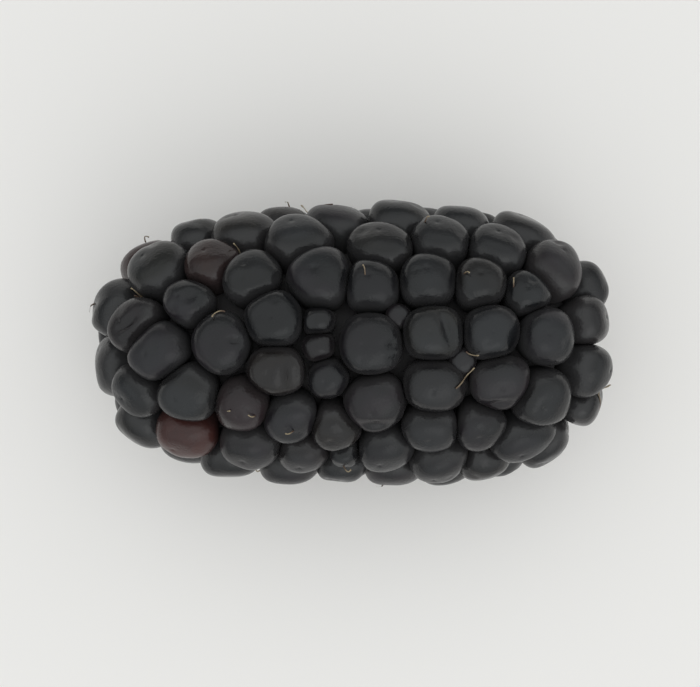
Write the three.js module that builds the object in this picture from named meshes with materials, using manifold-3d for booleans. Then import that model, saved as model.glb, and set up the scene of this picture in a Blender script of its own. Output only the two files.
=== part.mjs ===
// A ripe bramble berry as it is picked, without its calyx, lying on its side. It grew as one piece:
// plump drupelets of uneven size, which crowd round the fleshy receptacle and stand out of it. The
// end of the receptacle, where the stem came away, shows as a round dished face inside a ring of
// drupelets. Millimetres. The fruit's axis runs along X, with the stem end at +X and the tip at -X,
// and the fruit rests on the plane Z = 0.
import * as THREE from "three";
import { mergeVertices } from "three/addons/utils/BufferGeometryUtils.js";
import Module from "manifold-3d";

const wasm = await Module();
wasm.setup();

// The whole fruit, measured over the drupelets.
const LENGTH = 37.8;
const WIDTH = 20.6;
const BLUNTNESS = 3; // exponent of the outline: 2 is an ellipse, and more is squarer at the ends
const TAPER = 0.05; // share by which the stem end is wider than the middle, and the tip narrower

// The drupelets.
const DRUPELET_RADIUS = 2.12; // half the usual distance between two drupelets
const RADIUS_SPREAD = 0.13; // share by which a drawn radius may differ from the usual one
const SMALL_SHARE = 0.06; // share of the drupelets that stayed small
const SMALL_FACTOR = 0.6;
const BULGE = 1.7; // how far a drupelet of the usual radius stands out of its widest level
const ROOT_DEPTH = 2.1; // how far a drupelet reaches in below its widest level
const ROOT_SHARE = 0.68; // width of the root as a share of the widest level
const CREASE_DEPTH = 0.9; // from the widest level down to the core in the creases
const UNEVENNESS = 0.4; // the most by which two drupelets of one size differ in how far they bulge
const UNEVEN_SEED = 7;

// The round end of the receptacle, with the drupelets that ring it.
const STEM_CLEARING = 2.6; // radius that the drupelets leave free round it
const COLLAR_COUNT = 8; // drupelets in the ring
const COLLAR_RADIUS = 1.75;
const END_RADIUS = 2.9;
const END_SINK = 0.2; // how far its rim lies inside the drupelets' widest level
const END_DISH = 0.45; // depth of the dished face
const END_SLOPE = { share: 0.6, depth: 0.2 }; // at this share of the radius, this share of the dish
const END_ROUNDING = 0.7; // height over which the rim rounds in
const END_RIM_SHARE = 0.92; // radius of the rounded rim's top, as a share of the end's
const END_ROOT = 3.2; // how deep its root goes, to sit well inside the core
const END_ROOT_SHARE = 0.8; // radius of the root, as a share of the end's
const END_SIDES = 24;

// How far the lowest drupelets are pressed flat by the fruit's weight.
const PRESSED_FLAT = 0.45;

// The places that the other drupelets start from, before they push each other apart.
const SPIRAL_COUNT = 128;
const SPIRAL_SEED = 20;
const LEAST_ROOM = 0.8; // share of two radii that must be free beside a listed drupelet
const PUSH_ROUNDS = 300;
const PUSH_SHARE = 0.5; // share of an overlap that one round takes away

// The outline of a drupelet, seen along its own axis. The boundary to a neighbour lies between the
// two in the ratio of their sizes, and a power mean rounds the corners.
const CORNER_ROUNDING = 4.5;
const FREE_REACH = 1.45; // reach where no neighbour is near, as a share of the radius
const CROWDING = 1.08; // neighbours press into each other a little
const NEAR = 1.5; // distance that makes a neighbour, as a share of the two radii

// Facets of one drupelet: sides round it, and levels as [share of its width, share of its bulge].
const SIDES = 8;
const LEVELS = [
  [1, 0.1],
  [0.78, 0.74],
];
const CORE_DETAIL = 3; // how often the core's facets are split
const MERGE_DISTANCE = 1e-4; // corners this close are one corner
const NEARLY_AXIAL = 0.2; // least sine of the angle to X at which a direction round the fruit is clear

// Drupelets that stand out on the upper side: [along X, across Y, radius].
const UPPER_DRUPELETS = [
  [-2.4, 5.3, 2.15],
  [1.2, 4.8, 1.75],
  [-7.3, 5.6, 1.85],
  [-5.5, 1.9, 2.0],
  [-9.4, 0.0, 2.0],
  [-14.3, -0.6, 2.15],
  [-12.0, 3.5, 1.5],
  [-2.6, 1.8, 0.92],
  [-2.5, -0.1, 0.9],
  [1.0, 0.0, 2.15],
  [5.6, 0.9, 2.0],
  [9.8, 1.0, 2.1],
  [5.6, -3.4, 2.0],
  [10.5, -3.1, 2.1],
  [-5.5, -2.1, 1.9],
  [-1.8, -2.7, 1.15],
  [1.4, -4.8, 2.05],
  [-12.1, -4.0, 2.15],
  [-7.8, -5.0, 1.9],
  [-4.6, -6.1, 1.95],
  [-1.4, -6.9, 1.75],
  [-12.4, -7.6, 2.15],
  [-10.4, 6.9, 1.85],
  [5.4, -6.9, 1.9],
  [5.2, 5.2, 1.95],
  [9.0, 4.9, 1.85],
  [12.4, 4.2, 1.5],
  [13.9, 0.7, 1.95],
  [-4.1, 8.6, 2.1],
  [2.0, 8.1, 2.1],
  [-16.4, 1.8, 1.9],
  [-16.4, -4.2, 1.7],
  [9.0, -6.8, 1.75],
  [13.6, -4.5, 1.95],
];

// Drupelets that the fruit rests on, in two rows beside its lowest line, listed in the same way.
const RESTING_DRUPELETS = [
  [-6.3, -2.0, 2.1],
  [-2.1, -2.1, 2.05],
  [2.1, -2.0, 2.15],
  [-4.2, 1.8, 2.0],
  [0.0, 1.8, 2.15],
  [4.3, 1.8, 2.05],
];

// A surface that wraps the axis: a blunt ellipsoid of revolution, `inset` below the drupelets' tips.
class FruitSurface {
  constructor(inset) {
    this.halfLength = LENGTH / 2 - inset;
    this.halfWidth = WIDTH / 2 - inset;
  }

  widening(x) {
    return 1 + (TAPER * x) / this.halfLength;
  }

  // Moves a point along its own direction from the centre until it lies on the surface.
  project(point) {
    const k = this.widening(point.x);
    const along = Math.abs(point.x) / this.halfLength;
    const out = Math.hypot(point.y, point.z) / (this.halfWidth * k);
    const size = (along ** BLUNTNESS + out ** BLUNTNESS) ** (1 / BLUNTNESS);
    const x = point.x / size;
    const turn = this.widening(x) / k / size;
    return new THREE.Vector3(x, point.y * turn, point.z * turn);
  }

  // The distance from the axis at x.
  radiusAt(x) {
    const rest = 1 - Math.abs(x / this.halfLength) ** BLUNTNESS;
    return this.halfWidth * this.widening(x) * rest ** (1 / BLUNTNESS);
  }

  // The outward direction, from the slope of the outline.
  normal(point) {
    const across = Math.hypot(point.y, point.z);
    const k = this.widening(point.x);
    const out = (across / (this.halfWidth * k)) ** (BLUNTNESS - 1);
    const along = Math.abs(point.x / this.halfLength) ** (BLUNTNESS - 1) * Math.sign(point.x);
    const steepX = along / this.halfLength;
    const steepOut = out / (this.halfWidth * k);
    const flare = (steepOut * across * TAPER) / (this.halfLength * k);
    const ring = across > 0 ? steepOut / across : 0;
    return new THREE.Vector3(steepX - flare, point.y * ring, point.z * ring).normalize();
  }
}

// A draw from 0 to 1 that gives the same numbers on every run.
function seededDraw(seed) {
  let state = seed;
  return () => {
    state = (Math.imul(state, 1664525) + 1013904223) >>> 0;
    return state / 2 ** 32;
  };
}

const tips = new FruitSurface(0);
const widest = new FruitSurface(BULGE);

// Listed drupelets, seated under the places where their tips show. `side` is 1 above, -1 below.
function listedDrupelets(list, side) {
  return list.map(([x, y, radius]) => {
    const tip = new THREE.Vector3(x, y, side * Math.sqrt(tips.radiusAt(x) ** 2 - y ** 2));
    const seat = tip.clone().addScaledVector(tips.normal(tip), -BULGE);
    return { at: widest.project(seat), radius, fixed: true, rests: side < 0 };
  });
}

// The ring of even drupelets round the receptacle's end.
function collarDrupelets() {
  const out = STEM_CLEARING + COLLAR_RADIUS;
  return Array.from({ length: COLLAR_COUNT }, (_, i) => {
    const turn = (2 * Math.PI * (i + 0.5)) / COLLAR_COUNT;
    const beside = new THREE.Vector3(widest.halfLength, out * Math.cos(turn), out * Math.sin(turn));
    return { at: widest.project(beside), radius: COLLAR_RADIUS, fixed: true };
  });
}

// The others start on a golden-angle spiral, where the fixed ones leave room.
function spiralDrupelets(fixed) {
  const draw = seededDraw(SPIRAL_SEED);
  const goldenAngle = Math.PI * (3 - Math.sqrt(5));
  const found = [];
  for (let i = 0; i < SPIRAL_COUNT; i++) {
    const x = widest.halfLength * (1 - (2 * i + 1) / SPIRAL_COUNT);
    const turn = i * goldenAngle;
    const ring = widest.radiusAt(x);
    const at = new THREE.Vector3(x, ring * Math.cos(turn), ring * Math.sin(turn));
    const small = draw() < SMALL_SHARE ? SMALL_FACTOR : 1;
    const radius = DRUPELET_RADIUS * small * (1 + RADIUS_SPREAD * (2 * draw() - 1));
    const clear = fixed.every((f) => f.at.distanceTo(at) > LEAST_ROOM * (f.radius + radius));
    if (clear) found.push({ at, radius, fixed: false });
  }
  return found;
}

// Neighbours push each other apart over the surface until they pack evenly.
function settle(all) {
  for (let round = 0; round < PUSH_ROUNDS; round++) {
    const moves = all.map((a) => {
      const move = new THREE.Vector3();
      if (a.fixed) return move;
      for (const b of all) {
        const gap = a.at.distanceTo(b.at);
        const overlap = a.radius + b.radius - gap;
        if (b === a || overlap <= 0) continue;
        const pushed = (b.fixed ? 1 : 0.5) * overlap * PUSH_SHARE;
        move.addScaledVector(a.at.clone().sub(b.at), pushed / gap);
      }
      return move;
    });
    all.forEach((a, i) => {
      if (!a.fixed) a.at = widest.project(a.at.clone().add(moves[i]));
    });
  }
}

const stemScar = {
  at: new THREE.Vector3(widest.halfLength, 0, 0),
  radius: STEM_CLEARING,
  fixed: true,
};
const fixedOnes = [
  stemScar,
  ...collarDrupelets(),
  ...listedDrupelets(UPPER_DRUPELETS, 1),
  ...listedDrupelets(RESTING_DRUPELETS, -1),
];
const places = [...fixedOnes, ...spiralDrupelets(fixedOnes)];
settle(places);

// Some drupelets stand out a little more than others. Those that carry the fruit stand level.
const drawUneven = seededDraw(UNEVEN_SEED);
for (const place of places) {
  const more = UNEVENNESS * (drawUneven() - 0.5);
  place.bulge = BULGE * Math.sqrt(place.radius / DRUPELET_RADIUS) + (place.rests ? 0 : more);
}

// Two directions across a drupelet's axis: the first runs round the fruit, the second along it.
function frameOf(normal) {
  const across = new THREE.Vector3(1, 0, 0).cross(normal);
  if (across.length() < NEARLY_AXIAL) across.set(0, 1, 0).addScaledVector(normal, -normal.y);
  across.normalize();
  return [across, normal.clone().cross(across)];
}

// How far a drupelet reaches from its axis towards one side.
function reachOf(place, [e1, e2], angle) {
  let sum = (1 / (FREE_REACH * place.radius)) ** CORNER_ROUNDING;
  for (const other of places) {
    const to = other.at.clone().sub(place.at);
    const gap = to.length();
    if (other === place || gap > NEAR * (place.radius + other.radius)) continue;
    const u = to.dot(e1);
    const v = to.dot(e2);
    const flat = Math.hypot(u, v);
    const share = 0.5 + (place.radius ** 2 - other.radius ** 2) / (2 * gap ** 2);
    const facing = (u * Math.cos(angle) + v * Math.sin(angle)) / flat;
    if (facing > 0) sum += (facing / (flat * share)) ** CORNER_ROUNDING;
  }
  return CROWDING * sum ** (-1 / CORNER_ROUNDING);
}

// One drupelet: a dome over a rounded, many-sided outline, with a narrower root below it.
function drupelet(place) {
  const normal = widest.normal(place.at);
  const frame = frameOf(normal);
  const reaches = Array.from({ length: SIDES }, (_, i) =>
    reachOf(place, frame, (2 * Math.PI * i) / SIDES),
  );
  const rings = [
    [ROOT_SHARE, -ROOT_DEPTH],
    ...LEVELS.map(([share, height]) => [share, height * place.bulge]),
  ];
  const points = [];
  const add = (out, angle, height) => {
    const point = place.at.clone().addScaledVector(normal, height);
    point.addScaledVector(frame[0], out * Math.cos(angle));
    point.addScaledVector(frame[1], out * Math.sin(angle));
    points.push(point);
  };
  for (const [share, height] of rings) {
    reaches.forEach((reach, i) => add(share * reach, (2 * Math.PI * i) / SIDES, height));
  }
  add(0, 0, place.bulge);
  add(0, 0, -ROOT_DEPTH);
  const tip = rings.length * SIDES;
  const faces = [];
  for (let i = 0; i < SIDES; i++) {
    const next = (i + 1) % SIDES;
    for (let ring = 0; ring + 1 < rings.length; ring++) {
      const low = ring * SIDES;
      const high = low + SIDES;
      faces.push(low + i, low + next, high + next, low + i, high + next, high + i);
    }
    faces.push(tip - SIDES + i, tip - SIDES + next, tip);
    faces.push(next, i, tip + 1);
  }
  return new THREE.BufferGeometry().setFromPoints(points).setIndex(faces);
}

// The core that the drupelets grow from, its ball of facets drawn out to the fruit's own form.
function core() {
  const form = new FruitSurface(BULGE + CREASE_DEPTH);
  const ball = new THREE.IcosahedronGeometry(1, CORE_DETAIL);
  const corners = ball.getAttribute("position");
  for (let i = 0; i < corners.count; i++) {
    const corner = new THREE.Vector3().fromBufferAttribute(corners, i);
    corner.x *= form.halfLength / form.halfWidth;
    corner.copy(form.project(corner));
    corners.setXYZ(i, corner.x, corner.y, corner.z);
  }
  return ball;
}

function toSolid(geometry) {
  const bare = geometry.clone();
  bare.deleteAttribute("normal");
  bare.deleteAttribute("uv");
  const merged = mergeVertices(bare, MERGE_DISTANCE);
  const vertProperties = new Float32Array(merged.getAttribute("position").array);
  const triVerts = new Uint32Array(merged.index.array);
  return new wasm.Manifold(new wasm.Mesh({ numProp: 3, vertProperties, triVerts }));
}

function toGeometry(solid) {
  const { numProp, vertProperties, triVerts } = solid.getMesh();
  const positions = new Float32Array((vertProperties.length / numProp) * 3);
  for (let i = 0; i < positions.length / 3; i++) {
    positions.set(vertProperties.subarray(i * numProp, i * numProp + 3), i * 3);
  }
  return new THREE.BufferGeometry()
    .setAttribute("position", new THREE.BufferAttribute(positions, 3))
    .setIndex(new THREE.BufferAttribute(new Uint32Array(triVerts), 1));
}

// The receptacle's end: a round stub with a dished face, turned about the fruit's axis.
function receptacleEnd() {
  const rim = widest.halfLength - END_SINK;
  const profile = [
    [0, rim - END_ROOT],
    [END_RADIUS * END_ROOT_SHARE, rim - END_ROOT],
    [END_RADIUS, rim - END_ROUNDING],
    [END_RADIUS * END_RIM_SHARE, rim],
    [END_RADIUS * END_SLOPE.share, rim - END_DISH * END_SLOPE.depth],
    [0, rim - END_DISH],
  ];
  const points = profile.map(([radius, x]) => new THREE.Vector2(radius, x));
  return new THREE.LatheGeometry(points, END_SIDES).rotateZ(-Math.PI / 2);
}

const drupelets = places.filter((place) => place !== stemScar).map(drupelet);
let fruit = wasm.Manifold.union([core(), receptacleEnd(), ...drupelets].map(toSolid));

// The fruit lies on its lowest drupelets, which are pressed flat. Its box is centred over the origin.
const { min, max } = fruit.boundingBox();
const floor = min[2] + PRESSED_FLAT;
const below = new THREE.BoxGeometry(2 * LENGTH, 2 * LENGTH, LENGTH);
below.translate((min[0] + max[0]) / 2, (min[1] + max[1]) / 2, floor - LENGTH / 2);
fruit = fruit.subtract(toSolid(below));
fruit = fruit.translate(-(min[0] + max[0]) / 2, -(min[1] + max[1]) / 2, -floor);

const skin = new THREE.MeshStandardMaterial({ color: 0x17151b, roughness: 0.35, metalness: 0 });
const berry = new THREE.Mesh(toGeometry(fruit), skin);
berry.name = "berry";

const model = new THREE.Group();
model.add(berry);
export default model;
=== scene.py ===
import math

import bpy
import numpy as np
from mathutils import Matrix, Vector


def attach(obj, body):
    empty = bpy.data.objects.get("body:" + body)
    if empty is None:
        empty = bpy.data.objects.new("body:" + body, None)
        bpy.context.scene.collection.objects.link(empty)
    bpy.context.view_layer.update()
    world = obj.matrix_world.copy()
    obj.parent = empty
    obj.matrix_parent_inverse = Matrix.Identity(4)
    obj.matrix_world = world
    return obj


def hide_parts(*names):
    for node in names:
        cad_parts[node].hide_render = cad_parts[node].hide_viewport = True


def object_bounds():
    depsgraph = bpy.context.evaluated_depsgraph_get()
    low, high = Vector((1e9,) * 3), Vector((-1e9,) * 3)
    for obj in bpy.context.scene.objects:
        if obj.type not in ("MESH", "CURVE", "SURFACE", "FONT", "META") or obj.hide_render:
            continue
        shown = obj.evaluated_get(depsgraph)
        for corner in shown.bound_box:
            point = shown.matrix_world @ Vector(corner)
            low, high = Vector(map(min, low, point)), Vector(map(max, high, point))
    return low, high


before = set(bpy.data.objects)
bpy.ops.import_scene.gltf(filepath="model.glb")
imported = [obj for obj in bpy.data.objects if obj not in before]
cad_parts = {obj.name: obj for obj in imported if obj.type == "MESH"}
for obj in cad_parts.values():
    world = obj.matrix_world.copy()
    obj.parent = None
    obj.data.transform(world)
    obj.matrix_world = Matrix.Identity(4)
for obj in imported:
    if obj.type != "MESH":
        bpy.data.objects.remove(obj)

solid_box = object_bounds()


# Drupelets. Each is a small stone fruit: a thin glossy skin over juice and a seed. They grow on the
# fleshy receptacle, crowd each other into rounded polygons and hold together as one fruit. All
# sizes here are in millimetres, and the fruit's axis runs along X, with the stem end at +X.
MM = 0.001

# The form that the drupelets' tips lie on: its size, the power of its outline, and how much wider
# or narrower it is at its two ends. PRESSED_FLAT of its height is lost where it rests.
LENGTH = 37.8
WIDTH = 20.6
BLUNTNESS = 3
TAPER = 0.05
PRESSED_FLAT = 0.45

# A usual drupelet: its radius, how far it stands over its widest level, and how much both differ.
# A few are smaller by a factor.
DRUPELET_RADIUS = 2.12
RADIUS_SPREAD = 0.13
SMALL_SHARE = 0.06
SMALL_FACTOR = 0.6
BULGE = 1.7
UNEVENNESS = 0.4
UNEVEN_SEED = 7

# The clearing that the receptacle's end fills, and the ring of drupelets round it.
STEM_CLEARING = 2.6
COLLAR_COUNT = 8
COLLAR_RADIUS = 1.75

# The spiral that the free drupelets start from, and how they then push each other apart.
SPIRAL_COUNT = 128
SPIRAL_SEED = 20
LEAST_ROOM = 0.8
PUSH_ROUNDS = 300
PUSH_SHARE = 0.5

# Drupelets that stand out on the upper side: along X, across Y, radius.
UPPER_DRUPELETS = np.array([
    [-2.4, 5.3, 2.15],
    [1.2, 4.8, 1.75],
    [-7.3, 5.6, 1.85],
    [-5.5, 1.9, 2.0],
    [-9.4, 0.0, 2.0],
    [-14.3, -0.6, 2.15],
    [-12.0, 3.5, 1.5],
    [-2.6, 1.8, 0.92],
    [-2.5, -0.1, 0.9],
    [1.0, 0.0, 2.15],
    [5.6, 0.9, 2.0],
    [9.8, 1.0, 2.1],
    [5.6, -3.4, 2.0],
    [10.5, -3.1, 2.1],
    [-5.5, -2.1, 1.9],
    [-1.8, -2.7, 1.15],
    [1.4, -4.8, 2.05],
    [-12.1, -4.0, 2.15],
    [-7.8, -5.0, 1.9],
    [-4.6, -6.1, 1.95],
    [-1.4, -6.9, 1.75],
    [-12.4, -7.6, 2.15],
    [-10.4, 6.9, 1.85],
    [5.4, -6.9, 1.9],
    [5.2, 5.2, 1.95],
    [9.0, 4.9, 1.85],
    [12.4, 4.2, 1.5],
    [13.9, 0.7, 1.95],
    [-4.1, 8.6, 2.1],
    [2.0, 8.1, 2.1],
    [-16.4, 1.8, 1.9],
    [-16.4, -4.2, 1.7],
    [9.0, -6.8, 1.75],
    [13.6, -4.5, 1.95],
])

# Drupelets that the fruit rests on, in two rows beside its lowest line, listed in the same way.
RESTING_DRUPELETS = np.array([
    [-6.3, -2.0, 2.1],
    [-2.1, -2.1, 2.05],
    [2.1, -2.0, 2.15],
    [-4.2, 1.8, 2.0],
    [0.0, 1.8, 2.15],
    [4.3, 1.8, 2.05],
])


def widening(x, half_length):
    """How much wider the form is at x: 1, plus the taper times x over the half length."""
    return 1 + TAPER * x / half_length


def halves(inset):
    """Half the length and half the width of the fruit's form, `inset` below the drupelets' tips."""
    return LENGTH / 2 - inset, WIDTH / 2 - inset


def project(points, inset):
    """Each point moves along its own direction from the centre onto the form, where the share of
    the half length to the power BLUNTNESS, plus that of the widened half width, is 1."""
    half_length, half_width = halves(inset)
    k = widening(points[:, 0], half_length)
    along = np.abs(points[:, 0]) / half_length
    out = np.hypot(points[:, 1], points[:, 2]) / (half_width * k)
    size = (along**BLUNTNESS + out**BLUNTNESS) ** (1 / BLUNTNESS)
    x = points[:, 0] / size
    turn = widening(x, half_length) / k / size
    return np.stack([x, points[:, 1] * turn, points[:, 2] * turn], axis=1)


def radius_at(x, inset):
    """The form's distance from the axis at x."""
    half_length, half_width = halves(inset)
    rest = 1 - np.abs(x / half_length) ** BLUNTNESS
    return half_width * widening(x, half_length) * rest ** (1 / BLUNTNESS)


def outward(points, inset):
    """The form's outward direction at each point, from the slope of the outline."""
    half_length, half_width = halves(inset)
    across = np.hypot(points[:, 1], points[:, 2])
    k = widening(points[:, 0], half_length)
    out = (across / (half_width * k)) ** (BLUNTNESS - 1)
    along = np.abs(points[:, 0] / half_length) ** (BLUNTNESS - 1) * np.sign(points[:, 0])
    steep_out = out / (half_width * k)
    flare = steep_out * across * TAPER / (half_length * k)
    ring = steep_out / np.maximum(across, 1e-9)
    slopes = (along / half_length - flare, points[:, 1] * ring, points[:, 2] * ring)
    normals = np.stack(slopes, axis=1)
    return normals / np.linalg.norm(normals, axis=1, keepdims=True)


def seeded_draws(seed, count):
    """Numbers from 0 to 1, the same on every run. Each state is the one before times 1664525, plus
    1013904223, and starts again from 0 at 2 to the power 32."""
    draws = []
    for _ in range(count):
        seed = (seed * 1664525 + 1013904223) % 2**32
        draws.append(seed / 2**32)
    return np.array(draws)


def seats_under(listed, side):
    """Where listed drupelets sit: under their tips on the form, by one bulge along its normal."""
    x, y = listed[:, 0], listed[:, 1]
    tip = np.stack([x, y, side * np.sqrt(radius_at(x, 0) ** 2 - y**2)], axis=1)
    return project(tip - BULGE * outward(tip, 0), BULGE)


def collar_seats():
    """Seats in an even ring round the receptacle's end."""
    turn = (np.arange(COLLAR_COUNT) + 0.5) * 2 * math.pi / COLLAR_COUNT
    out = STEM_CLEARING + COLLAR_RADIUS
    x = np.full(COLLAR_COUNT, halves(BULGE)[0])
    return project(np.stack([x, out * np.cos(turn), out * np.sin(turn)], axis=1), BULGE)


def spiral_seats(fixed_seats, fixed_radii):
    """Seats on a golden-angle spiral round the fruit, where the fixed drupelets leave room."""
    turn = np.arange(SPIRAL_COUNT) * math.pi * (3 - math.sqrt(5))
    x = halves(BULGE)[0] * (1 - (2 * np.arange(SPIRAL_COUNT) + 1) / SPIRAL_COUNT)
    ring = radius_at(x, BULGE)
    seats = np.stack([x, ring * np.cos(turn), ring * np.sin(turn)], axis=1)
    draws = seeded_draws(SPIRAL_SEED, 2 * SPIRAL_COUNT).reshape(-1, 2)
    small = np.where(draws[:, 0] < SMALL_SHARE, SMALL_FACTOR, 1)
    radii = DRUPELET_RADIUS * small * (1 + RADIUS_SPREAD * (2 * draws[:, 1] - 1))
    gaps = np.linalg.norm(seats[:, None] - fixed_seats[None], axis=2)
    clear = (gaps > LEAST_ROOM * (radii[:, None] + fixed_radii[None])).all(axis=1)
    return seats[clear], radii[clear]


def settle(seats, radii, fixed):
    """Neighbours push each other apart over the form until they pack evenly. A fixed one stays, and
    a free one makes up the whole overlap with it, but only half the overlap with a free one."""
    for _ in range(PUSH_ROUNDS):
        apart = seats[:, None] - seats[None]
        gap = np.linalg.norm(apart, axis=2)
        np.fill_diagonal(gap, np.inf)
        overlap = np.maximum(radii[:, None] + radii[None] - gap, 0)
        push = np.where(fixed[None], 1, 0.5) * overlap * PUSH_SHARE / gap
        moved = project(seats + (apart * push[:, :, None]).sum(axis=1), BULGE)
        seats = np.where(fixed[:, None], seats, moved)
    return seats


stem_seat = np.array([[halves(BULGE)[0], 0, 0]])
upper_seats = seats_under(UPPER_DRUPELETS, 1)
resting_seats = seats_under(RESTING_DRUPELETS, -1)
fixed_seats = np.concatenate([stem_seat, collar_seats(), upper_seats, resting_seats])
collar_radii = np.full(COLLAR_COUNT, COLLAR_RADIUS)
listed_radii = np.concatenate([UPPER_DRUPELETS[:, 2], RESTING_DRUPELETS[:, 2]])
fixed_radii = np.concatenate([[STEM_CLEARING], collar_radii, listed_radii])
free_seats, free_radii = spiral_seats(fixed_seats, fixed_radii)
radii = np.concatenate([fixed_radii, free_radii])
fixed = np.arange(len(radii)) < len(fixed_radii)
seats = settle(np.concatenate([fixed_seats, free_seats]), radii, fixed)
resting = fixed & (np.arange(len(radii)) >= len(fixed_radii) - len(resting_seats))
bulges = BULGE * np.sqrt(radii / DRUPELET_RADIUS)
bulges += np.where(resting, 0, UNEVENNESS * (seeded_draws(UNEVEN_SEED, len(radii)) - 0.5))
normals = outward(seats, BULGE)

# A drupelet's outline: the power that rounds its corners, its reach where nothing is beside it,
# how far it crowds over the boundary, and how near a neighbour counts, in radii.
CORNER_ROUNDING = 4.5
FREE_REACH = 1.45
CROWDING = 1.08
NEAR = 1.5
NEARLY_ALONG_X = 0.2


def frame_of(normal):
    """Two directions across a drupelet's axis: the first runs round the fruit and the second along
    it. At the fruit's ends, where no way leads round, the first is the Y direction instead."""
    across = np.cross([1.0, 0.0, 0.0], normal)
    if np.linalg.norm(across) < NEARLY_ALONG_X:
        across = np.array([0.0, 1.0, 0.0]) - normal * normal[1]
    across /= np.linalg.norm(across)
    return across, np.cross(normal, across)


def reach_of(i, e1, e2, angles):
    """A drupelet's outline round its axis. The boundary to each neighbour lies between the two in
    the ratio of their sizes, and a power mean of all the boundaries rounds the corners."""
    to = seats - seats[i]
    gap = np.linalg.norm(to, axis=1)
    near = (gap <= NEAR * (radii[i] + radii)) & (np.arange(len(radii)) != i)
    u, v = to[near] @ e1, to[near] @ e2
    flat = np.hypot(u, v)
    share = 0.5 + (radii[i] ** 2 - radii[near] ** 2) / (2 * gap[near] ** 2)
    facing = (u[:, None] * np.cos(angles) + v[:, None] * np.sin(angles)) / flat[:, None]
    pull = (np.maximum(facing, 0) / (flat * share)[:, None]) ** CORNER_ROUNDING
    total = pull.sum(axis=0) + (1 / (FREE_REACH * radii[i])) ** CORNER_ROUNDING
    return CROWDING * total ** (-1 / CORNER_ROUNDING)


# A drupelet's rings: each one's share of the reach, and for those of its root the height too. Its
# material takes a root ring for one of ROOT_SHARES, so that the creases are told from the domes.
SIDES = 36
DOME_RINGS = np.array([0.045, 0.09, 0.14, 0.2, 0.27, 0.35, 0.43, 0.51, 0.59, 0.67, 0.745, 0.81,
                       0.87, 0.92, 0.96, 0.985, 1.0])
ROOT_RINGS = np.array([[0.98, -0.45], [0.86, -1.2], [0.68, -2.1]])
IN_THE_CREASE = 1.3
ROOT_SHARES = [1.05, 1.2, IN_THE_CREASE]

# Its dome: how full it is, how its corners fade, how its tip leans, and the dimple there.
FULLNESS = 3.0
ROUND_ORDERS = 3
CORNER_FADE = 3.5
LEAN = 0.16
LEAN_LEAST = 0.6
LEAN_SPREAD = 0.8
DIMPLE_DEPTH = 0.05
DIMPLE_RADIUS = 0.2
TIP_SINK = 0.03

# Its skin's slow waves and shallow dents, which are less at its widest level.
WAVES = 4
WAVE_HEIGHT = 0.03
WAVE_RATE = 2.2
DENTS = 3
DENT_DEPTH = 0.14
DENT_RADIUS = 0.36
DENT_NEAREST = 0.4
DENT_SPREAD = 0.5
DENT_TURN = 6.3
WIDEST_SHARE = 0.99
WIDEST_UNEVENNESS = 0.3
SKIN_SEED = 11

# Folds and dents where the skin gave way on the upper side: the middle along X and across Y, the
# heading from +X in degrees, the half length and half width, and the depth.
FOLDS = np.array([
    [6.3, 1.1, -71, 1.3, 0.36, 0.55],
    [2.6, 0.0, 8, 0.5, 0.26, 0.5],
    [2.7, -0.95, 0, 0.45, 0.2, 0.36],
    [11.1, 0.1, 90, 0.9, 0.45, 0.65],
    [9.6, -4.2, 10, 1.2, 0.28, 0.4],
    [1.4, -5.6, 0, 1.5, 0.28, 0.3],
    [-4.3, -2.2, 90, 1.1, 0.55, 0.5],
    [-8.2, 0.3, 0, 0.45, 0.24, 0.42],
    [-11.3, 3.5, 90, 0.5, 0.45, 0.3],
    [-15.9, 1.5, 38, 1.0, 0.3, 0.4],
])

# Small drupelets that never swelled, in gaps between the others on the upper side: along X, across
# Y, the radius, and how far the tip stands over the others' widest level.
UNSWOLLEN = np.array([
    [3.0, 2.3, 0.9, 0.7],
    [7.6, -1.4, 0.98, 0.75],
])


def dome_height(share):
    """A drupelet's height over its widest level, as a share of its bulge: the square root of 1
    minus the share of its reach to a power, which makes the top full and the sides steep."""
    return np.sqrt(1 - np.minimum(share, 1) ** FULLNESS)


def unevenness(i, flat, share, draws):
    """How far the skin stands off the plain dome: slow waves in random directions, then round
    dents, each a bell curve of the distance from its middle, and less of both at its widest."""
    height = np.zeros(flat.shape[:2])
    for _ in range(WAVES):
        way = draws.normal(size=2) * WAVE_RATE / radii[i]
        height += WAVE_HEIGHT * np.sin(flat @ way + draws.random() * 2 * math.pi)
    for _ in range(DENTS):
        turn, out, depth = draws.random(3)
        way = np.array([math.cos(turn * DENT_TURN), math.sin(turn * DENT_TURN)])
        middle = (DENT_NEAREST + DENT_SPREAD * out) * radii[i] * way
        away = np.linalg.norm(flat - middle, axis=2) / DENT_RADIUS
        height -= DENT_DEPTH * depth**2 * np.exp(-(away**2))
    return height * np.where(share > WIDEST_SHARE, WIDEST_UNEVENNESS, 1)


def fold_depth(points):
    """The depth of the folds at points on the upper side: a bell curve across and along each."""
    middle_x, middle_y, heading, half_length, half_width, deepest = FOLDS.T
    x, y = points[..., 0, None] - middle_x, points[..., 1, None] - middle_y
    ahead_x, ahead_y = np.cos(np.radians(heading)), np.sin(np.radians(heading))
    along = (x * ahead_x + y * ahead_y) / half_length
    across = (y * ahead_x - x * ahead_y) / half_width
    depth = (deepest * np.exp(-(along**2) - across**2)).sum(axis=-1)
    return np.where(points[..., 2] > 0, depth, 0)


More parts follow.
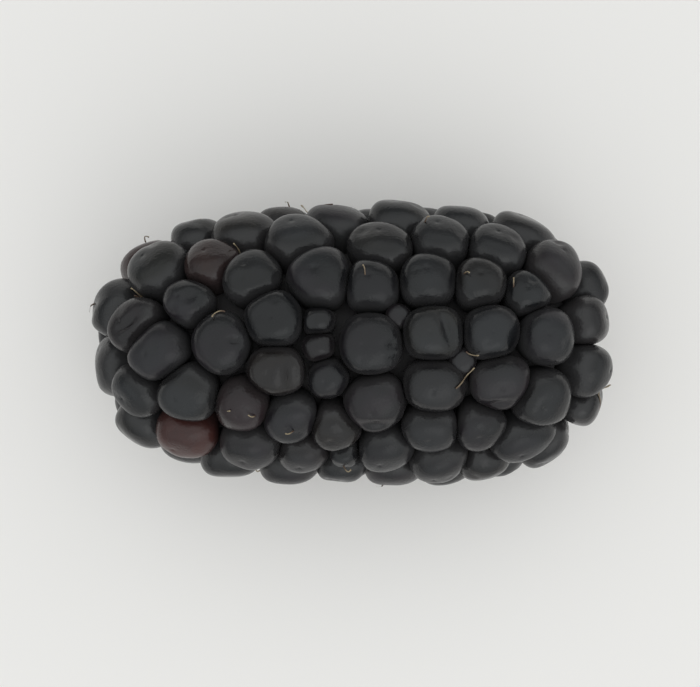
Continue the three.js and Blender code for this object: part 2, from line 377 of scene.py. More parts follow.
def drupelet(i, draws):
    """One drupelet as rings of points from its tip to its root. Its outline has soft corners where
    it is widest, which fade to a plain oval, the outline's first few waves, towards the tip. The
    tip leans a little towards the fruit's own tip and holds the dimple that the style leaves."""
    e1, e2 = frame_of(normals[i])
    angles = np.arange(SIDES) * 2 * math.pi / SIDES
    share = np.concatenate([DOME_RINGS, ROOT_RINGS[:, 0]])[:, None]
    reach = reach_of(i, e1, e2, angles)
    orders = np.fft.rfft(reach)
    orders[ROUND_ORDERS:] = 0
    oval = np.fft.irfft(orders, SIDES)
    reach = oval + (reach - oval) * share**CORNER_FADE
    flat = (share * reach)[:, :, None] * np.stack([np.cos(angles), np.sin(angles)], axis=1)
    sideways = LEAN_SPREAD * (draws.random() - 0.5)
    backwards = -LEAN_LEAST - LEAN_SPREAD * draws.random()
    lean = LEAN * radii[i] * np.array([sideways, backwards if e2[0] >= 0 else -backwards])
    flat[: len(DOME_RINGS)] += (1 - DOME_RINGS**2)[:, None, None] * lean
    height = np.concatenate([bulges[i] * dome_height(DOME_RINGS), ROOT_RINGS[:, 1]])[:, None]
    height = height - DIMPLE_DEPTH * np.exp(-((share * reach / DIMPLE_RADIUS) ** 2))
    height = height + unevenness(i, flat, share, draws)
    level = seats[i] + flat[:, :, :1] * e1 + flat[:, :, 1:] * e2
    points = level + height[:, :, None] * normals[i]
    dome = points[: len(DOME_RINGS)]
    dome -= fold_depth(dome)[:, :, None] * normals[i]
    tip = dome[0].mean(axis=0) - TIP_SINK * normals[i]
    root = seats[i] + ROOT_RINGS[-1, 1] * normals[i]
    return np.vstack([points.reshape(-1, 3), tip, root])


def unswollen_drupelet(x, y, radius, rise):
    """A plain round dome in a gap, as the same rings of points as any other drupelet."""
    seat = seats_under(np.array([[x, y]]), 1)
    normal = outward(seat, BULGE)
    e1, e2 = frame_of(normal[0])
    angles = np.arange(SIDES)[:, None] * 2 * math.pi / SIDES
    reach = radius * np.concatenate([DOME_RINGS, ROOT_RINGS[:, 0]])[:, None, None]
    height = np.concatenate([rise * dome_height(DOME_RINGS), ROOT_RINGS[:, 1]])[:, None, None]
    points = seat + reach * (np.cos(angles) * e1 + np.sin(angles) * e2) + height * normal
    tip, root = seat + rise * normal, seat + ROOT_RINGS[-1, 1] * normal
    return np.vstack([points.reshape(-1, 3), tip, root])


# How far the core lies below the drupelets' widest level, and how finely it is divided.
CREASE_DEPTH = 1.4
CORE_RINGS = 60
CORE_SIDES = 48


def core(rings, sides):
    """The fleshy core in the creases: the fruit's own form, sunk below the drupelets' widest level,
    as rings round the axis."""
    inset = BULGE + CREASE_DEPTH
    half_length, half_width = halves(inset)
    level = np.pi * (np.arange(rings) + 1)[:, None] / (rings + 1)
    turn = np.arange(sides) * 2 * math.pi / sides
    out = half_width * np.sin(level)
    x = np.broadcast_to(half_length * np.cos(level), (rings, sides))
    points = np.stack([x, out * np.cos(turn), out * np.sin(turn)], axis=-1).reshape(-1, 3)
    return np.vstack([project(points, inset), [half_length, 0, 0], [-half_length, 0, 0]])


def ring_faces(rings, sides):
    """Quads between neighbouring rings of points, and triangles that close both ends. The two end
    points follow the rings: the one by the first ring, then the one by the last."""
    here = np.arange(sides)
    following = (here + 1) % sides
    starts = np.arange(rings - 1)[:, None] * sides
    corners = (starts + here, starts + sides + here, starts + sides + following, starts + following)
    last = (rings - 1) * sides
    first_end = np.full(sides, rings * sides)
    caps = [np.stack([first_end, here, following], axis=1)]
    caps.append(np.stack([first_end + 1, last + following, last + here], axis=1))
    return np.stack(corners, axis=-1).reshape(-1, 4), np.vstack(caps)


def repeated(kinds, copies, points_each, start=0):
    """The same faces for each copy of a shape, as one list for the mesh."""
    offsets = start + (np.arange(copies) * points_each)[:, None, None]
    return [face for kind in kinds for face in (kind + offsets).reshape(-1, kind.shape[1]).tolist()]


def make_piece(name, points, faces):
    """A smooth-shaded mesh object at the origin, from points in metres."""
    mesh = bpy.data.meshes.new(name)
    mesh.from_pydata(points.tolist(), [], faces)
    mesh.shade_smooth()
    piece = bpy.data.objects.new(name, mesh)
    bpy.context.scene.collection.objects.link(piece)
    return piece


def give_values(piece, name, values):
    """One number at each point of a piece, for its material to read."""
    layer = piece.data.attributes.new(name, "FLOAT", "POINT")
    layer.data.foreach_set("value", np.asarray(values, np.float32))


skin_draws = np.random.default_rng(SKIN_SEED)
grown = [drupelet(i, skin_draws) for i in range(1, len(seats))]
tips = np.array([points[-2] for points in grown])
grown += [unswollen_drupelet(*row) for row in UNSWOLLEN]
rings_each = len(DOME_RINGS) + len(ROOT_RINGS)
points_each = rings_each * SIDES + 2
core_points = core(CORE_RINGS, CORE_SIDES)
fruit_points = np.vstack([*grown, core_points])
fruit_faces = repeated(ring_faces(rings_each, SIDES), len(grown), points_each)
fruit_faces += repeated(ring_faces(CORE_RINGS, CORE_SIDES), 1, 0, len(grown) * points_each)

# Each point's share of its drupelet's reach, which is more than 1 at the root, and its drupelet's
# number. The core and the unswollen drupelets take the number 0.
ring_shares = np.concatenate([DOME_RINGS, ROOT_SHARES])
shares = np.tile(np.append(ring_shares.repeat(SIDES), [0, IN_THE_CREASE]), len(grown))
shares = np.append(shares, np.full(len(core_points), IN_THE_CREASE))
owners = np.zeros(len(fruit_points), int)
owners[: len(tips) * points_each] = np.repeat(np.arange(1, len(seats)), points_each)

# The fine fruit is fitted to the box of its solid, which is pressed flat where it rests.
PRESS_ROUNDING = 0.12
PRESS_REACH = 1
low, high = fruit_points.min(axis=0), fruit_points.max(axis=0)
box_low = np.array(solid_box[0]) / MM - [0, 0, PRESSED_FLAT]
box_high = np.array(solid_box[1]) / MM
fit_scale = (box_high - box_low) / (high - low)


def fitted(points):
    """Places in the frame, in metres, of points on the fruit's own form, in millimetres. What would
    lie below the surface is pressed up to it, with a small rounding at the flat spot's edge."""
    placed = (points - low) * fit_scale + box_low
    z = placed[:, 2]
    pressed = (z + np.sqrt(z**2 + PRESS_ROUNDING**2)) / 2
    placed[:, 2] = np.where(z > PRESS_REACH, z, pressed)
    return placed * MM


# How red each drupelet still is. Those nearest to the listed places, X, Y and Z, ripened last.
RED_PLACES = [
    (-11.9, -6.2, 3.8, 1.0),
    (-10.0, 5.7, 5.3, 0.35),
    (-14.9, 5.8, -0.3, 0.6),
    (-7.6, -4.1, 7.0, 0.18),
]

# The most red that any other one keeps. The tone decides how purple or brown each one is.
REDNESS = 0.08
TONE_SEED = 5
tone_draws = np.random.default_rng(TONE_SEED)
tone = tone_draws.random(len(seats))
redness = REDNESS * tone_draws.random(len(seats)) ** 2
for *place, much in RED_PLACES:
    redness[np.argmin(np.linalg.norm(seats - place, axis=1))] = much

drupelets = make_piece("drupelets", fitted(fruit_points), fruit_faces)
give_values(drupelets, "share", shares)
give_values(drupelets, "tone", tone[owners])
give_values(drupelets, "redness", redness[owners])


def new_material(name):
    """A node material with a Principled shader. Returns it, its tree and the shader."""
    material = bpy.data.materials.new(name)
    material.use_nodes = True
    tree = material.node_tree
    return material, tree, tree.nodes["Principled BSDF"]


def read_value(tree, name):
    """The number that a piece holds under that name."""
    node = tree.nodes.new("ShaderNodeAttribute")
    node.attribute_name = name
    return node.outputs["Fac"]


def sockets_of(sockets):
    """A node's sockets by identifier, because a Mix node has several with the same name."""
    return {socket.identifier: socket for socket in sockets}


def feed(tree, socket, value):
    """Links an output to a socket, or sets the socket to a number or colour."""
    if isinstance(value, bpy.types.NodeSocket):
        tree.links.new(value, socket)
    else:
        socket.default_value = (*value, 1) if isinstance(value, tuple) else value


def remap(tree, value, from_low, from_high, to_low=0.0, to_high=1.0):
    """A number moved smoothly from one range to another."""
    node = tree.nodes.new("ShaderNodeMapRange")
    node.interpolation_type = "SMOOTHSTEP"
    ranges = (("Value", value), ("From Min", from_low), ("From Max", from_high),
              ("To Min", to_low), ("To Max", to_high))
    for key, number in ranges:
        feed(tree, node.inputs[key], number)
    return node.outputs["Result"]


def blend(tree, share, first, second):
    """The colour between two colours, by a share."""
    node = tree.nodes.new("ShaderNodeMix")
    node.data_type = "RGBA"
    inputs = sockets_of(node.inputs)
    feed(tree, inputs["Factor_Float"], share)
    feed(tree, inputs["A_Color"], first)
    feed(tree, inputs["B_Color"], second)
    return sockets_of(node.outputs)["Result_Color"]


def combine(tree, operation, first, second):
    """Two numbers by MULTIPLY, ADD or another operation of a Math node."""
    node = tree.nodes.new("ShaderNodeMath")
    node.operation = operation
    feed(tree, node.inputs[0], first)
    feed(tree, node.inputs[1], second)
    return node.outputs["Value"]


def blotch_group():
    """A shader group for uneven colour and gloss. Noise on Object coordinates, with its scale in
    waves a metre, is stretched to a mask that is 0 below Low and 1 above High."""
    group = bpy.data.node_groups.new("blotches", "ShaderNodeTree")
    for name in ("Scale", "Detail", "Low", "High"):
        group.interface.new_socket(name, in_out="INPUT", socket_type="NodeSocketFloat")
    group.interface.new_socket("Mask", in_out="OUTPUT", socket_type="NodeSocketFloat")
    given = group.nodes.new("NodeGroupInput").outputs
    place = group.nodes.new("ShaderNodeTexCoord")
    noise = group.nodes.new("ShaderNodeTexNoise")
    feed(group, noise.inputs["Vector"], place.outputs["Object"])
    feed(group, noise.inputs["Scale"], given["Scale"])
    feed(group, noise.inputs["Detail"], given["Detail"])
    mask = remap(group, noise.outputs["Fac"], given["Low"], given["High"])
    feed(group, group.nodes.new("NodeGroupOutput").inputs["Mask"], mask)
    return group


uneven_blotches = blotch_group()


def blotches(tree, scale, detail, low_end, high_end):
    """The blotch group, placed in a material with its own values."""
    node = tree.nodes.new("ShaderNodeGroup")
    node.node_tree = uneven_blotches
    for key, number in (("Scale", scale), ("Detail", detail), ("Low", low_end), ("High", high_end)):
        node.inputs[key].default_value = number
    return node.outputs["Mask"]


def bump(tree, height, strength, distance, under=None):
    """Relief in the shading only. The distance is in metres."""
    node = tree.nodes.new("ShaderNodeBump")
    node.inputs["Strength"].default_value = strength
    node.inputs["Distance"].default_value = distance
    feed(tree, node.inputs["Height"], height)
    if under:
        feed(tree, node.inputs["Normal"], under)
    return node.outputs["Normal"]


BLACK_SKIN = (0.0064, 0.0067, 0.0076)
PURPLE_SKIN = (0.0108, 0.0080, 0.0112)
BROWN_SKIN = (0.0108, 0.0098, 0.0078)
RED_SKIN = (0.050, 0.0165, 0.014)
BLOOM = (0.021, 0.023, 0.026)
# Dull flesh in the creases and on the core, in a grey painted lighter than their shade: painted
# haze light.
CREASE_FLESH_PAINTED_HAZE = (0.030, 0.029, 0.030)

# Blotches: the waves a metre, the detail, and the noise below which the mask is 0 and above which
# it is 1.
SKIN_CLOUDS = (420, 3, 0.3, 0.7)
BLOOM_PATCHES = (130, 2, 0.42, 0.68)
PORES = (5200, 2, 0.3, 0.7)
PUCKERS = (1300, 2, 0.2, 0.8)

# Ranges: the share, tone or mask at both ends, and what each end gives.
PURPLE_BY_TONE = (0.45, 1.0, 0.1, 1.0)
BROWN_BY_TONE = (0.4, 0.0, 0.0, 0.8)
TOP_BY_SHARE = (0.5, 0.95, 1.0, 0.0)
CREASE_FLESH_AND_HAZE_BY_SHARE = (0.8, 1.0)
RED_BY_CLOUDS = (0.0, 1.0, 0.7, 1.0)
ROUGHNESS_BY_CLOUDS = (0.0, 1.0, 0.17, 0.26)
ROUGHNESS_BY_TONE = (0.0, 1.0, 0.0, 0.08)
ROUGHNESS_BY_SHARE = (0.95, 1.2, 0.0, 0.5)

BLOOM_STRENGTH = 0.55
BLOOM_ROUGHNESS = 0.06
SKIN_IOR = 1.42

# Relief in the shading: the strength, and the distance in metres.
PORE_RELIEF = (0.3, 0.00002)
PUCKER_RELIEF = (0.15, 0.00008)


def skin_material():
    """Near-black glossy skin with a purple or brown depth that differs between drupelets, redder
    where it ripened last, with a faint pale bloom on the tops and dull flesh in the creases, whose
    grey is painted lighter than their shade, as painted haze light."""
    material, tree, shader = new_material("drupelet skin")
    share = read_value(tree, "share")
    tone = read_value(tree, "tone")
    redness = read_value(tree, "redness")
    clouds = blotches(tree, *SKIN_CLOUDS)
    purple = combine(tree, "MULTIPLY", clouds, remap(tree, tone, *PURPLE_BY_TONE))
    brown = combine(tree, "MULTIPLY", clouds, remap(tree, tone, *BROWN_BY_TONE))
    colour = blend(tree, purple, BLACK_SKIN, PURPLE_SKIN)
    colour = blend(tree, brown, colour, BROWN_SKIN)
    on_top = remap(tree, share, *TOP_BY_SHARE)
    bloom = combine(tree, "MULTIPLY", blotches(tree, *BLOOM_PATCHES), on_top)
    colour = blend(tree, combine(tree, "MULTIPLY", bloom, BLOOM_STRENGTH), colour, BLOOM)
    # Painted light: towards the creases the colour turns to a lighter grey, a painted haze over
    # their shade.
    colour = blend(tree, remap(tree, share, *CREASE_FLESH_AND_HAZE_BY_SHARE), colour, CREASE_FLESH_PAINTED_HAZE)
    ripening = combine(tree, "MULTIPLY", redness, remap(tree, clouds, *RED_BY_CLOUDS))
    colour = blend(tree, ripening, colour, RED_SKIN)
    feed(tree, shader.inputs["Base Color"], colour)
    dull = combine(tree, "MULTIPLY", bloom, BLOOM_ROUGHNESS)
    dull = combine(tree, "ADD", dull, remap(tree, tone, *ROUGHNESS_BY_TONE))
    roughness = combine(tree, "ADD", remap(tree, clouds, *ROUGHNESS_BY_CLOUDS), dull)
    in_crease = remap(tree, share, *ROUGHNESS_BY_SHARE)
    feed(tree, shader.inputs["Roughness"], combine(tree, "ADD", roughness, in_crease))
    shader.inputs["IOR"].default_value = SKIN_IOR
    pores = bump(tree, blotches(tree, *PORES), *PORE_RELIEF)
    puckers = bump(tree, blotches(tree, *PUCKERS), *PUCKER_RELIEF, pores)
    feed(tree, shader.inputs["Normal"], puckers)
    return material


drupelets.data.materials.append(skin_material())
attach(drupelets, "root")
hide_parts("berry")


# The receptacle's end. This is where the stem came away from the fleshy pith that carries the
# drupelets: a dull, pale, fibrous face, a little dished, with the ends of its veins in a ring.
END_RADIUS = 2.9
END_SINK = 0.2
END_DISH = 0.45
END_ROUNDING = 0.7
END_ROOT = 3.2
END_SIDES = 120

# Its profile: the dished face, the rounded rim and the sunk side, as shares of the radius and the
# depths below the rim.
FACE_RINGS = 34
FACE_FROM = 0.03
FACE_TO = 0.9
DISH_POWER = 2.2
RIM_SHARES = [0.94, 0.97, 0.99, 1.0, 1.0]
RIM_DEPTHS = END_ROUNDING * np.array([0.04, 0.12, 0.28, 0.5, 1.0])
SIDE_SHARES = [0.97, 0.8]
SIDE_DEPTHS = [0.6 * END_ROOT, END_ROOT]

# Its relief. Where a feature lies and how wide it is are shares of the radius too.
RIBS = 31
RIB_HEIGHT = 0.05
RIB_SWAY = 2
RIB_SWAYS = 3
RIBS_FULL_FROM = 0.5
VEINS = 12
VEIN_RING = 0.56
VEIN_SPREAD = 0.06
VEIN_SPREAD_RATE = 1.7
VEIN_SWAY = 0.3
VEIN_SWAY_RATE = 2.3
VEIN_HEIGHT = 0.2
VEIN_RADIUS = 0.07
MOAT_SHARE = 0.4
PIT_DEPTH = 0.35
PIT_RADIUS = 0.16

# The face's outline isn't quite round: how much, how many waves, and where they start.
OUTLINE_WAVES = ((0.025, 5, 1), (0.015, 13, 0))


def receptacle_end():
    """A profile turned about X: the dished face, the rounded rim and the sunk side. On the face are
    radial ribs, which are waves round it, a ring of raised vein ends in shallow moats, and a pit in
    the middle, each of these a bell curve. Returns the points, the faces, and at each point its
    share of the radius and how much it is a vein end."""
    rim = halves(BULGE)[0] - END_SINK
    face = np.linspace(FACE_FROM, FACE_TO, FACE_RINGS)
    dish = END_DISH * (1 - (face / FACE_TO) ** DISH_POWER)
    out = np.concatenate([face, RIM_SHARES, SIDE_SHARES])[:, None]
    depth = np.concatenate([dish, RIM_DEPTHS, SIDE_DEPTHS])[:, None]
    turn = np.arange(END_SIDES) * 2 * math.pi / END_SIDES
    flat = np.stack([out * np.cos(turn), out * np.sin(turn)], axis=-1)
    number = np.arange(VEINS)
    vein_turn = (number + VEIN_SWAY * np.sin(number * VEIN_SWAY_RATE)) * 2 * math.pi / VEINS
    vein_out = VEIN_RING + VEIN_SPREAD * np.sin(number * VEIN_SPREAD_RATE)
    vein_places = np.stack([vein_out * np.cos(vein_turn), vein_out * np.sin(vein_turn)], axis=-1)
    away = np.linalg.norm(flat[:, :, None] - vein_places, axis=-1)
    vein = np.exp(-((away / VEIN_RADIUS) ** 2)).sum(axis=-1)
    moat = np.exp(-((away / (2 * VEIN_RADIUS)) ** 2)).sum(axis=-1)
    ribs = RIB_HEIGHT * np.sin(turn * RIBS + RIB_SWAY * np.sin(turn * RIB_SWAYS))
    ribs = ribs * np.clip(out / RIBS_FULL_FROM, 0, 1)
    pit = PIT_DEPTH * np.exp(-((out / PIT_RADIUS) ** 2))
    relief = ribs + VEIN_HEIGHT * (vein - MOAT_SHARE * moat) - pit
    relief[FACE_RINGS:] = 0
    x = rim - depth + relief
    outline = 1
    for much, waves, start in OUTLINE_WAVES:
        outline = outline + much * np.sin(turn * waves + start)
    radius = END_RADIUS * out * outline
    points = np.stack([x, radius * np.cos(turn), radius * np.sin(turn)], axis=-1).reshape(-1, 3)
    ends = [[x[0].mean(), 0, 0], [rim - END_ROOT, 0, 0]]
    faces = repeated(ring_faces(len(out), END_SIDES), 1, 0)
    shares = np.append(np.broadcast_to(out, x.shape).reshape(-1), [0, SIDE_SHARES[-1]])
    return np.vstack([points, ends]), faces, shares, np.append(vein.reshape(-1), [0, 0])


PALE_PITH = (0.64, 0.58, 0.42)
GREEN_PITH = (0.46, 0.46, 0.26)
VEIN_BROWN = (0.26, 0.17, 0.085)
PIT_BROWN = (0.15, 0.10, 0.055)
JUICE_STAIN = (0.13, 0.018, 0.035)

# Blotches and ranges, in the same order as the skin's.
FIBRES = (2600, 4, 0.3, 0.7)
BROWN_FLECKS = (2600, 4, 0.6, 0.8)
PITH_CLOUDS = (700, 3, 0.35, 0.65)
GREEN_BY_SHARE = (0.42, 0.1, 0.0, 0.85)
BROWN_BY_VEIN = (0.25, 0.9, 0.0, 0.65)
PIT_BY_SHARE = (0.2, 0.06)
JUICE_BY_SHARE = (0.78, 1.1, 0.0, 0.92)
PITH_ROUGHNESS = (0.0, 1.0, 0.55, 0.85)
GREEN_STRENGTH = 0.7
JUICE_SPREAD = 0.2
FIBRE_RELIEF = (0.6, 0.00015)


def pith_material():
    """Dull cream pith with greener patches, brown at the pit, the vein ends and in flecks, and
    stained by juice at the rim."""
    material, tree, shader = new_material("receptacle pith")
    share = read_value(tree, "share")
    vein = read_value(tree, "vein")
    fibres = blotches(tree, *FIBRES)
    clouds = blotches(tree, *PITH_CLOUDS)
    greener = combine(tree, "MULTIPLY", clouds, GREEN_STRENGTH)
    colour = blend(tree, greener, PALE_PITH, GREEN_PITH)
    colour = blend(tree, remap(tree, share, *GREEN_BY_SHARE), colour, GREEN_PITH)
    colour = blend(tree, remap(tree, vein, *BROWN_BY_VEIN), colour, VEIN_BROWN)
    colour = blend(tree, remap(tree, share, *PIT_BY_SHARE), colour, PIT_BROWN)
    colour = blend(tree, blotches(tree, *BROWN_FLECKS), colour, VEIN_BROWN)
    juicy = combine(tree, "ADD", share, combine(tree, "MULTIPLY", clouds, JUICE_SPREAD))
    colour = blend(tree, remap(tree, juicy, *JUICE_BY_SHARE), colour, JUICE_STAIN)
    feed(tree, shader.inputs["Base Color"], colour)
    feed(tree, shader.inputs["Roughness"], remap(tree, fibres, *PITH_ROUGHNESS))
    feed(tree, shader.inputs["Normal"], bump(tree, fibres, *FIBRE_RELIEF))
    return material


end_points, end_faces, end_shares, end_veins = receptacle_end()
receptacle = make_piece("receptacle", fitted(end_points), end_faces)
give_values(receptacle, "share", end_shares)
give_values(receptacle, "vein", end_veins)
receptacle.data.materials.append(pith_material())
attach(receptacle, "root")


# Dry styles. Each drupelet carried one thread-like style in the flower. They wither to stiff tan
# threads: some lie bent over the skin from the dimple at a drupelet's tip, and of others only a
# short stub is left. Some have broken off and lie in a crease.
LYING_SHARE = 0.16
STUB_SHARE = 0.24
LYING_LENGTH = (1.6, 4.0)
STUB_LENGTH = (0.35, 0.9)
LEAST_SEAT_Z = -5
CLEAN_ABOVE_Z = 4
STYLE_SEED = 23

# The thread: its radius, which narrows along it, and the knob where the stigma was.
STYLE_STEPS = 16
STYLE_SIDES = 6
STYLE_RADIUS = 0.05
STYLE_BASE = 1.15
STYLE_TAPER = 0.55
STYLE_KNOB = 0.7
KNOB_PLACE = 0.95
KNOB_LENGTH = 0.06
OFF_EVERY_STYLE = [0.31, 0.17, 0.93]

# How it lies on the skin, or stands up from it.
STYLE_CLEAR = 0.03
STYLE_END_LIFT = 0.25
STYLE_BEND = 2.4
STUB_LIFT = 0.5
STUB_ARC = 2.2
STUB_SINK = 0.02
BETWEEN_DRUPELETS = -0.3
SMOOTH_STEPS = 7

# Broken styles on the upper side: along X, across Y, heading from +X in degrees, bend in radians
# and length.
BROKEN_STYLES = np.array([
    [-8.96, 2.4, 146, 2.0, 1.0],
    [6.96, -3.1, 27, 0.4, 1.8],
    [7.76, -0.56, -45, 1.0, 0.8],
    [-9.36, -4.6, -10, 0.8, 0.9],
    [-7.76, 7.7, 152, 1.2, 0.8],
    [-16.2, 3.9, 60, 1.5, 0.6],
])


def skin_height(points):
    """How far the skin stands over the drupelets' widest level at points on that level: the
    highest of the domes there, each from the point's share of the dome's reach in its direction."""
    highest = np.full(len(points), BETWEEN_DRUPELETS)
    for i in range(1, len(seats)):
        e1, e2 = frame_of(normals[i])
        near = np.linalg.norm(points - seats[i], axis=1) < 2 * radii[i]
        u, v = (points[near] - seats[i]) @ e1, (points[near] - seats[i]) @ e2
        share = np.hypot(u, v) / reach_of(i, e1, e2, np.arctan2(v, u))
        rise = np.where(share < 1, bulges[i] * dome_height(share), BETWEEN_DRUPELETS)
        highest[near] = np.maximum(highest[near], rise)
    for x, y, radius, tip in UNSWOLLEN:
        share = np.linalg.norm(points - seats_under(np.array([[x, y]]), 1), axis=1) / radius
        rise = np.where(share < 1, tip * dome_height(share), BETWEEN_DRUPELETS)
        highest = np.maximum(highest, rise)
    return highest


def style_path(start, normal, lies, angle, bend, length):
    """A style's path from its dimple. A lying one curves steadily over the skin and bridges the
    creases, at the larger of the skin's height and its moving average, and its end lifts by the
    fourth power of the way along it. A stub stands up from the skin in part of a wave, so that it
    bends over."""
    e1, e2 = frame_of(normal)
    along = np.linspace(0, 1, STYLE_STEPS)
    heading = (angle + bend * along)[:, None]
    steps = (np.cos(heading) * e1 + np.sin(heading) * e2) * length / (STYLE_STEPS - 1)
    level = project(start + np.cumsum(steps, axis=0) - steps[0], BULGE)
    height = skin_height(level)
    if lies:
        padded = np.pad(height, SMOOTH_STEPS // 2, mode="edge")
        smooth = np.convolve(padded, np.full(SMOOTH_STEPS, 1 / SMOOTH_STEPS), mode="valid")
        height = np.maximum(height, smooth) + STYLE_CLEAR + STYLE_END_LIFT * along**4
    else:
        height = height - STUB_SINK + STUB_LIFT * np.sin(along * STUB_ARC)
    return level + height[:, None] * outward(level, BULGE)


def style_paths(draws):
    """The paths of all styles that are left: the broken ones, and at most one for each drupelet off
    the ground, with no long one on the upper side. There, angles start from -Y, so a heading from
    +X is a quarter turn more."""
    paths = []
    broken_seats = seats_under(BROKEN_STYLES, 1)
    for start, (_, _, heading, bend, length) in zip(broken_seats, BROKEN_STYLES):
        normal = outward(start[None], BULGE)[0]
        paths.append(style_path(start, normal, True, math.radians(heading + 90), bend, length))
    for i in range(1, len(seats)):
        kind, angle, bend, size = draws.random(4)
        lies = kind < LYING_SHARE
        left = not lies or seats[i][2] < CLEAN_ABOVE_Z
        if left and kind < LYING_SHARE + STUB_SHARE and seats[i][2] > LEAST_SEAT_Z:
            shortest, longest = LYING_LENGTH if lies else STUB_LENGTH
            length = shortest + (longest - shortest) * size
            angle, bend = angle * 2 * math.pi, (bend - 0.5) * STYLE_BEND
            paths.append(style_path(tips[i - 1], normals[i], lies, angle, bend, length))
    return np.array(paths)


def threads(paths):
    """Round threads along paths. Each ring of points stands across its path, turned by a direction
    that no style runs along. The radius narrows along the path and swells again near its end."""
    ahead = np.gradient(paths, axis=1)
    ahead /= np.linalg.norm(ahead, axis=2, keepdims=True)
    aside = np.cross(ahead, OFF_EVERY_STYLE)
    aside /= np.linalg.norm(aside, axis=2, keepdims=True)
    upward = np.cross(aside, ahead)
    along = np.linspace(0, 1, STYLE_STEPS)
    knob = STYLE_KNOB * np.exp(-(((along - KNOB_PLACE) / KNOB_LENGTH) ** 2))
    thickness = STYLE_RADIUS * (STYLE_BASE - STYLE_TAPER * along + knob)
    turn = np.arange(STYLE_SIDES) * 2 * math.pi / STYLE_SIDES
    ring = np.cos(turn)[:, None] * aside[:, :, None] + np.sin(turn)[:, None] * upward[:, :, None]
    points = paths[:, :, None] + thickness[:, None, None] * ring
    ends = np.stack([paths[:, 0], paths[:, -1]], axis=1)
    points = np.concatenate([points.reshape(len(paths), -1, 3), ends], axis=1)
    faces = repeated(ring_faces(STYLE_STEPS, STYLE_SIDES), len(paths), points.shape[1])
    values = np.append(np.repeat(along, STYLE_SIDES), [0, 1])
    return points.reshape(-1, 3), faces, np.tile(values, len(paths))


TAN = (0.30, 0.235, 0.15)
BROWN = (0.085, 0.048, 0.032)

# Blotches and ranges, in the same order as the skin's.
STRETCHES = (1500, 3, 0.3, 0.7)
STRETCH_STRENGTH = 0.4
TAN_BY_PALENESS = (0.2, 0.9)
STYLE_ROUGHNESS = (0.0, 1.0, 0.45, 0.75)


def style_material():
    """Dry, dull threads: brown by the dimple and tan towards the end, in uneven stretches."""
    material, tree, shader = new_material("dry style")
    along = read_value(tree, "along")
    stretches = blotches(tree, *STRETCHES)
    uneven = combine(tree, "MULTIPLY", stretches, STRETCH_STRENGTH)
    tanned = remap(tree, combine(tree, "ADD", along, uneven), *TAN_BY_PALENESS)
    feed(tree, shader.inputs["Base Color"], blend(tree, tanned, BROWN, TAN))
    feed(tree, shader.inputs["Roughness"], remap(tree, stretches, *STYLE_ROUGHNESS))
    return material


style_points, style_faces, style_along = threads(style_paths(np.random.default_rng(STYLE_SEED)))
style_places = np.clip(fitted(style_points), solid_box[0], solid_box[1])
styles = make_piece("dry_styles", style_places, style_faces)
give_values(styles, "along", style_along)
styles.data.materials.append(style_material())
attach(styles, "root")


# Floor, light and camera. The fruit lies on a plain pale surface under a broad soft sky that is
# brightest overhead, and the camera looks straight down on it, as it does in the photograph. Past
# the floor's edge, a low camera sees a backdrop as pale as the floor.
FLOOR_HALF = 1.5
FLOOR_COLOUR = (0.90, 0.86, 0.84)
FLOOR_ROUGHNESS = 0.9
FLOOR_SPECULAR = 0.2
floor_mesh = bpy.data.meshes.new("floor")
floor_corners = [(-FLOOR_HALF, -FLOOR_HALF, 0), (FLOOR_HALF, -FLOOR_HALF, 0),
                 (FLOOR_HALF, FLOOR_HALF, 0), (-FLOOR_HALF, FLOOR_HALF, 0)]
floor_mesh.from_pydata(floor_corners, [], [(0, 1, 2, 3)])
floor = bpy.data.objects.new("floor", floor_mesh)
bpy.context.scene.collection.objects.link(floor)
floor_material, _, floor_shader = new_material("pale floor")
floor_shader.inputs["Base Color"].default_value = (*FLOOR_COLOUR, 1)
floor_shader.inputs["Roughness"].default_value = FLOOR_ROUGHNESS
floor_shader.inputs["Specular IOR Level"].default_value = FLOOR_SPECULAR
floor_mesh.materials.append(floor_material)

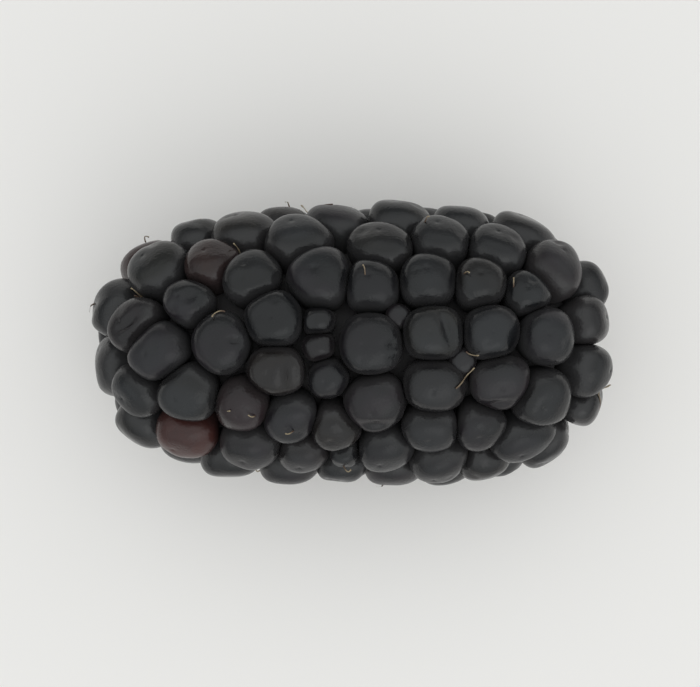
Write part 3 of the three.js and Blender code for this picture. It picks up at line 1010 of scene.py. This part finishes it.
# The sky is brightest round the direction SKY_POLE, and weakest a quarter turn away from it.
SKY_POLE = (0.12, -0.2, 0.97)
SKY_LOW = 0.35
SKY_HIGH = 1.0
SKY_FULL_FROM = 0.55
SKY_COLOUR = (0.955, 1.0, 1.0)
BACKDROP = 0.8
BACKDROP_COLOUR = (1.0, 0.99, 0.965)
world = bpy.data.worlds.new("studio")
bpy.context.scene.world = world
world.use_nodes = True
sky = world.node_tree
direction = sky.nodes.new("ShaderNodeTexCoord")
towards_pole = sky.nodes.new("ShaderNodeVectorMath")
towards_pole.operation = "DOT_PRODUCT"
towards_pole.inputs[1].default_value = SKY_POLE
feed(sky, towards_pole.inputs[0], direction.outputs["Generated"])
strength = remap(sky, towards_pole.outputs["Value"], 0.0, SKY_FULL_FROM, SKY_LOW, SKY_HIGH)
seen = sky.nodes.new("ShaderNodeLightPath").outputs["Is Camera Ray"]
strength = combine(sky, "MAXIMUM", strength, combine(sky, "MULTIPLY", seen, BACKDROP))
feed(sky, sky.nodes["Background"].inputs["Strength"], strength)
feed(sky, sky.nodes["Background"].inputs["Color"], blend(sky, seen, SKY_COLOUR, BACKDROP_COLOUR))

# One soft lamp, whose place and sides are in metres.
LAMP_PLACE = (0.22, -0.42, 0.50)
LAMP_WIDTH = 0.50
LAMP_HEIGHT = 0.40
LAMP_WATTS = 0.32
softbox = bpy.data.lights.new("softbox", "AREA")
softbox.shape = "RECTANGLE"
softbox.size = LAMP_WIDTH
softbox.size_y = LAMP_HEIGHT
softbox.energy = LAMP_WATTS
lamp = bpy.data.objects.new("softbox", softbox)
lamp.location = LAMP_PLACE
lamp.rotation_euler = Vector(LAMP_PLACE).to_track_quat("Z", "Y").to_euler()
bpy.context.scene.collection.objects.link(lamp)

# The camera sees FRAME_WIDTH metres at half the fruit's height. The lens and sensor are in mm.
FRAME_WIDTH = 0.0500
LENS = 100
SENSOR = 36
HALF_HEIGHT = 0.012
NEAREST_SEEN = 0.001
camera_data = bpy.data.cameras.new("camera")
camera_data.lens = LENS
camera_data.sensor_width = SENSOR
camera_data.clip_start = NEAREST_SEEN
camera = bpy.data.objects.new("camera", camera_data)
camera.location = (0, 0, FRAME_WIDTH * LENS / SENSOR + HALF_HEIGHT)
bpy.context.scene.collection.objects.link(camera)
bpy.context.scene.camera = camera
bpy.context.scene.view_settings.view_transform = "Standard"
